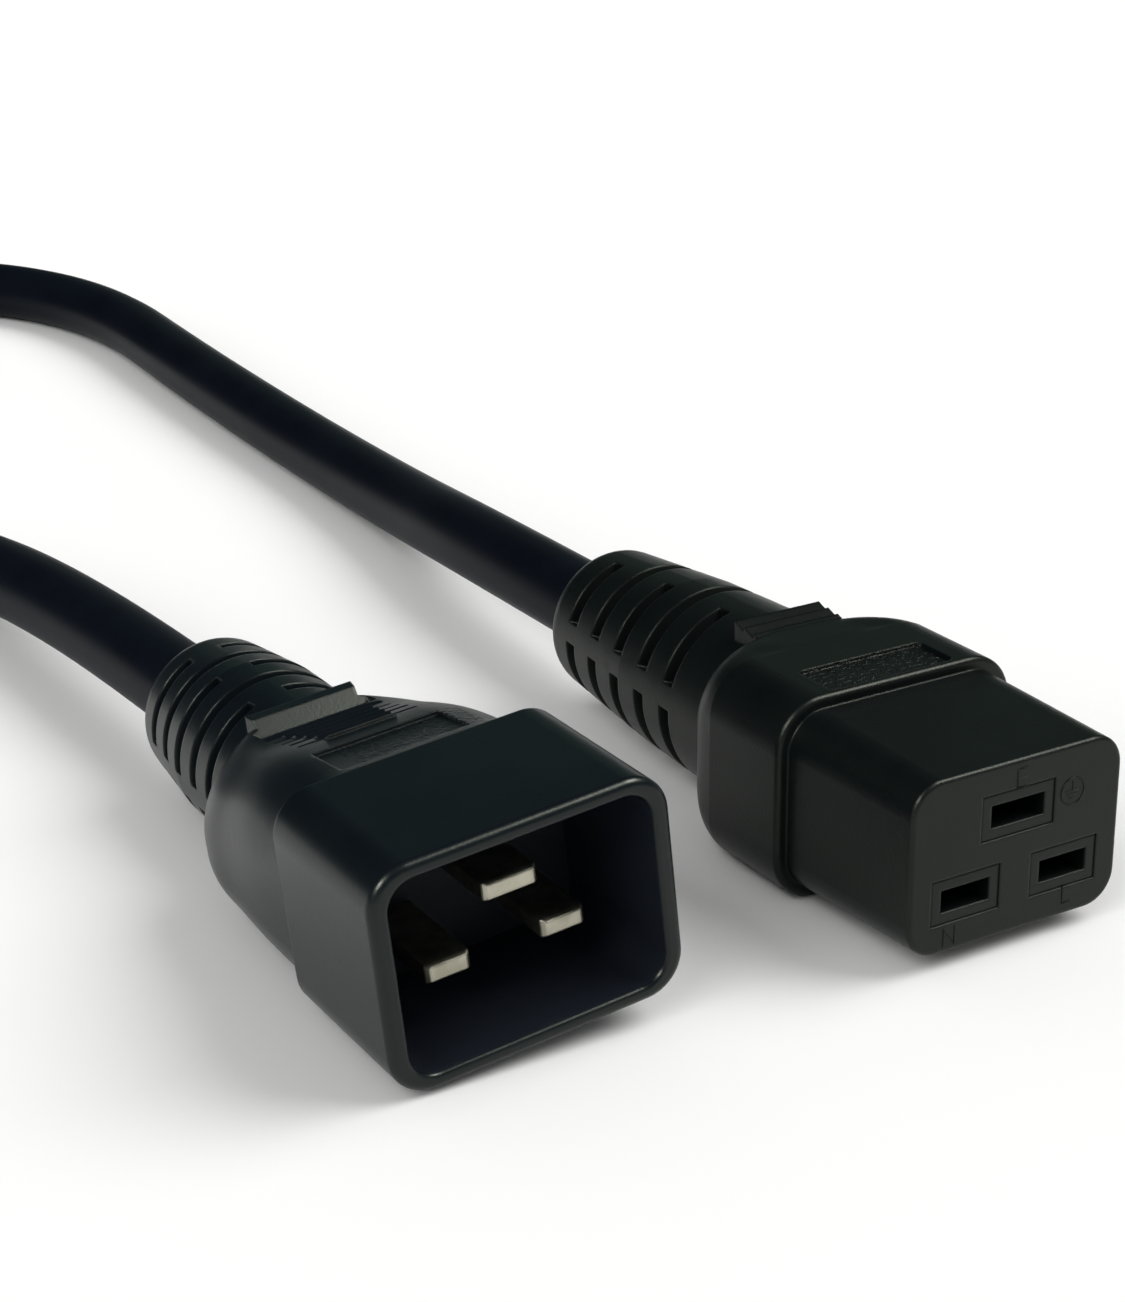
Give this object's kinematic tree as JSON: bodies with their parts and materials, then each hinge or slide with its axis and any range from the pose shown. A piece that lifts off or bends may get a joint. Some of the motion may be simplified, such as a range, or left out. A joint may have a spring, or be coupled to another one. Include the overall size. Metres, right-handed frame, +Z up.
{
  "type": "c19 power connector",
  "caption": "Moulded black C19 connector with a ringed strain relief, on a short round cord that ends in a C20 plug.",
  "frame": {"origin": "on the surface the lead lies on, under the middle of the C19 connector, half way from its mating face to its cord end", "axes": "+Y from the mating face of the C19 towards its cord, +Z up from the line and neutral row to the earth contact, +X to the right for a viewer who faces the mating face"},
  "size_m": [0.1365, 0.339, 0.0276],
  "materials": {
    "overmould": "satin black moulded PVC with a fine leathery skin",
    "carrier": "matte dark grey moulded insert",
    "inner_mould": "plain dark inner moulding, out of sight",
    "contact_metal": "nickel-plated brass, softly brushed",
    "conductor": "bare stranded copper, out of sight",
    "line_insulation": "brown core insulation, out of sight",
    "neutral_insulation": "blue core insulation, out of sight",
    "earth_insulation": "green and yellow core insulation, out of sight",
    "jacket": "smooth satin black cord jacket"
  },
  "bodies": {
    "root": {"c19_contact_carrier": "carrier", "c19_earth_conductor": "conductor", "c19_earth_contact": "contact_metal", "c19_earth_core": "earth_insulation", "c19_inner_mould": "inner_mould", "c19_line_conductor": "conductor", "c19_line_contact": "contact_metal", "c19_line_core": "line_insulation", "c19_neutral_conductor": "conductor", "c19_neutral_contact": "contact_metal", "c19_neutral_core": "neutral_insulation", "c19_overmould": "overmould", "c20_earth_conductor": "conductor", "c20_earth_core": "earth_insulation", "c20_earth_pin": "contact_metal", "c20_inner_mould": "inner_mould", "c20_line_conductor": "conductor", "c20_line_core": "line_insulation", "c20_line_pin": "contact_metal", "c20_neutral_conductor": "conductor", "c20_neutral_core": "neutral_insulation", "c20_neutral_pin": "contact_metal", "c20_overmould": "overmould", "c20_pin_carrier": "carrier", "cord_jacket": "jacket"}
  },
  "joints": []
}
